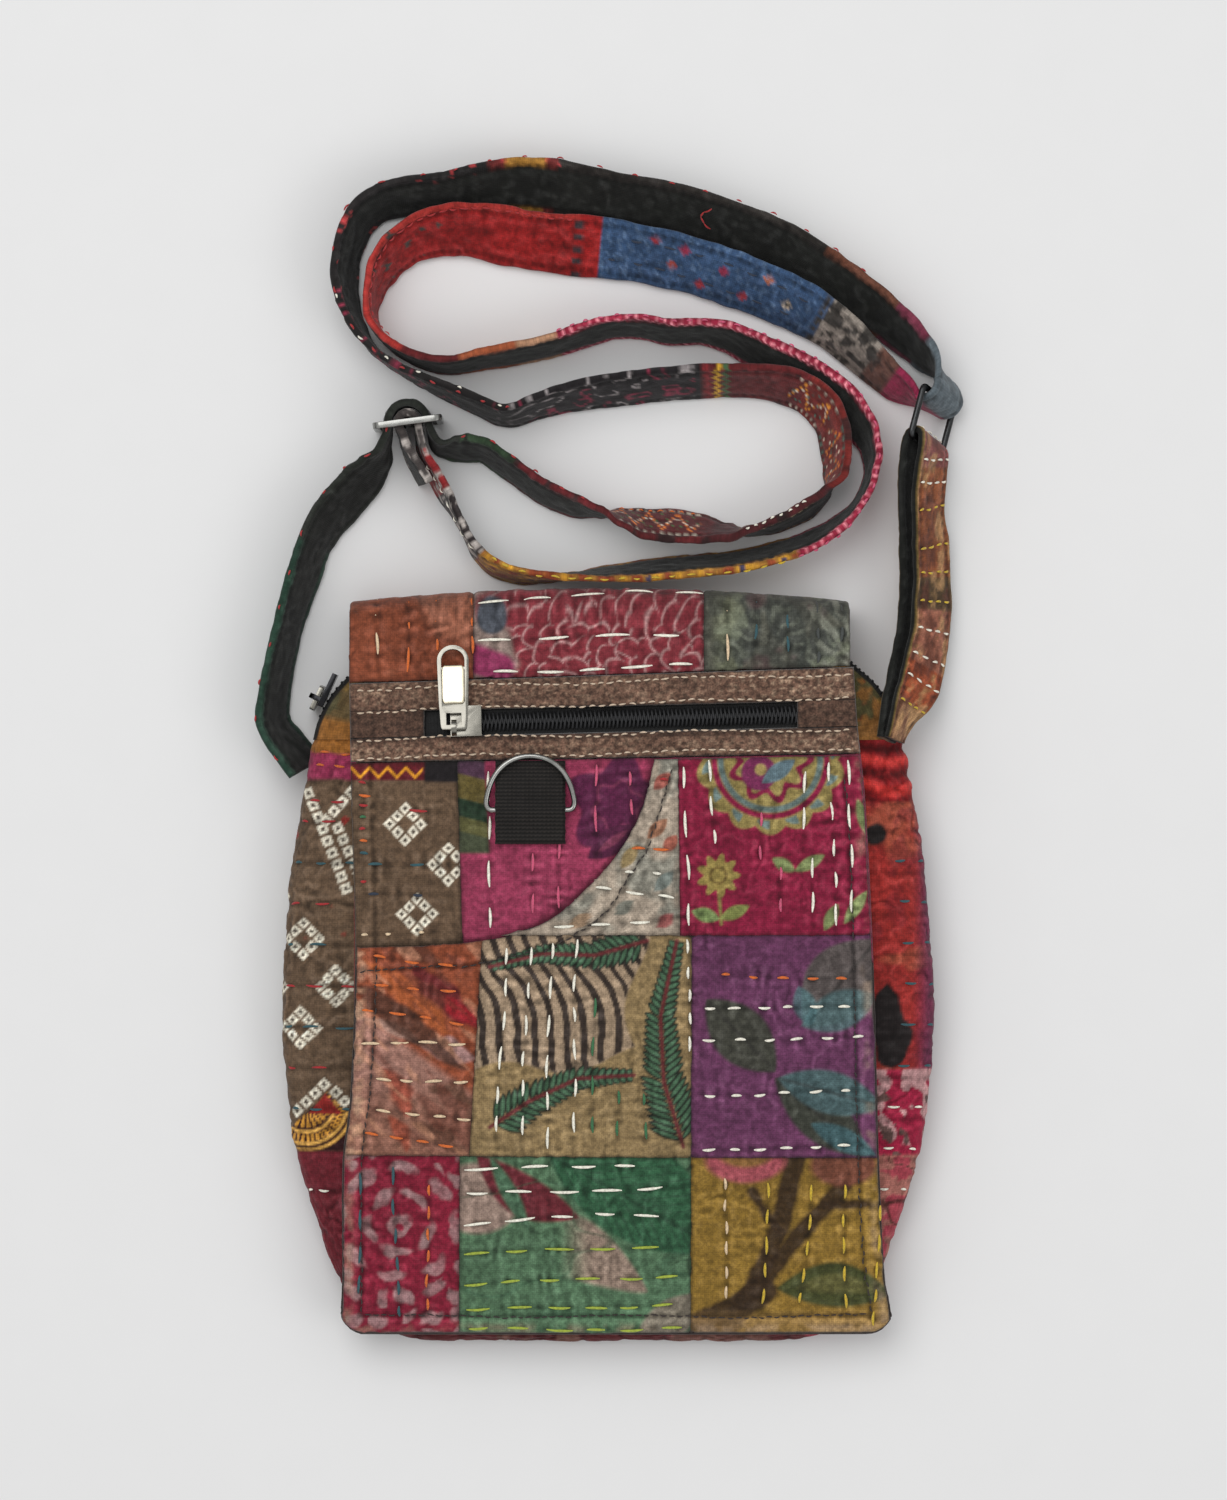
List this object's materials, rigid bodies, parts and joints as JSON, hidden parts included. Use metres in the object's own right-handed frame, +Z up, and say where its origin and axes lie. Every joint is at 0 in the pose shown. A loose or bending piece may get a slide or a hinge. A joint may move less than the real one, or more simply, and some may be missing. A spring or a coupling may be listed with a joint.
{
  "type": "travel document pouch",
  "caption": "Flat cross-body travel pouch of quilted patch cloth with a fold-over flap, a zip slot with a pull, a slash pocket, a ring tab and a long adjustable strap.",
  "frame": {"origin": "middle of the underside of the back panel, on the surface the pouch lies on", "axes": "+Z up out of the flap, +Y from the bottom of the pouch to its mouth and strap, +X to the right of the flap"},
  "size_m": [0.2188, 0.3646, 0.0407],
  "materials": {
    "cloth_back": "quilted cotton patch cloth",
    "cloth_side": "quilted cotton patch cloth",
    "cloth_mouth": "zip tape and shoulder cloth",
    "metal_dark": "dark nickel",
    "cloth_top": "quilted cotton patch cloth",
    "band_brown": "napped brown cloth",
    "webbing_black": "black woven tape",
    "coil_black": "moulded coil",
    "metal_bright": "bright nickel",
    "cloth_flap": "quilted cotton patch cloth",
    "cloth_pocket": "quilted cotton patch cloth",
    "strap_dark": "patch cloth band",
    "strap_red": "patch cloth band",
    "strap_pink": "patch cloth band",
    "strap_gold": "patch cloth band",
    "strap_rust": "patch cloth band"
  },
  "bodies": {
    "pouch": {"back_panel": "cloth_back", "front_panel": "cloth_back", "gusset": "cloth_side", "mouth_tape_front": "cloth_mouth", "mouth_tape_back": "cloth_mouth", "mouth_slider": "metal_dark", "flap_top": "cloth_top", "zip_band": "band_brown", "zip_tape": "webbing_black", "zip_coil": "coil_black", "zip_slider": "metal_bright", "flap_panel": "cloth_flap", "flap_pocket": "cloth_pocket", "ring_tab": "webbing_black", "strap_tail": "strap_dark", "strap_right_loop": "strap_red", "strap_left_loop": "strap_dark", "strap_top_run": "strap_dark", "strap_inner_left": "strap_red", "strap_inner_right": "strap_pink", "strap_inner_end": "strap_gold", "slide_buckle": "metal_bright", "strap_ring": "metal_dark", "strap_tab": "strap_rust"},
    "zip_pull": {"zip_pull": "metal_bright"},
    "d_ring": {"d_ring": "metal_bright"},
    "mouth_pull": {"mouth_pull": "metal_dark"}
  },
  "joints": [
    {"name": "zip_pull_swing", "type": "hinge", "parent": "pouch", "child": "zip_pull", "pos_m": [-0.04685, 0.07379, 0.03509], "axis": [0.9997, 0.024, 0], "range_deg": [0, 150]},
    {"name": "d_ring_swing", "type": "hinge", "parent": "pouch", "child": "d_ring", "pos_m": [-0.0236, 0.04875, 0.03844], "axis": [1, 0, 0], "range_deg": [0, 140]},
    {"name": "mouth_pull_swing", "type": "hinge", "parent": "pouch", "child": "mouth_pull", "pos_m": [-0.08964, 0.08297, 0.0146], "axis": [0.4257, 0.9049, 0], "range_deg": [0, 45]}
  ]
}
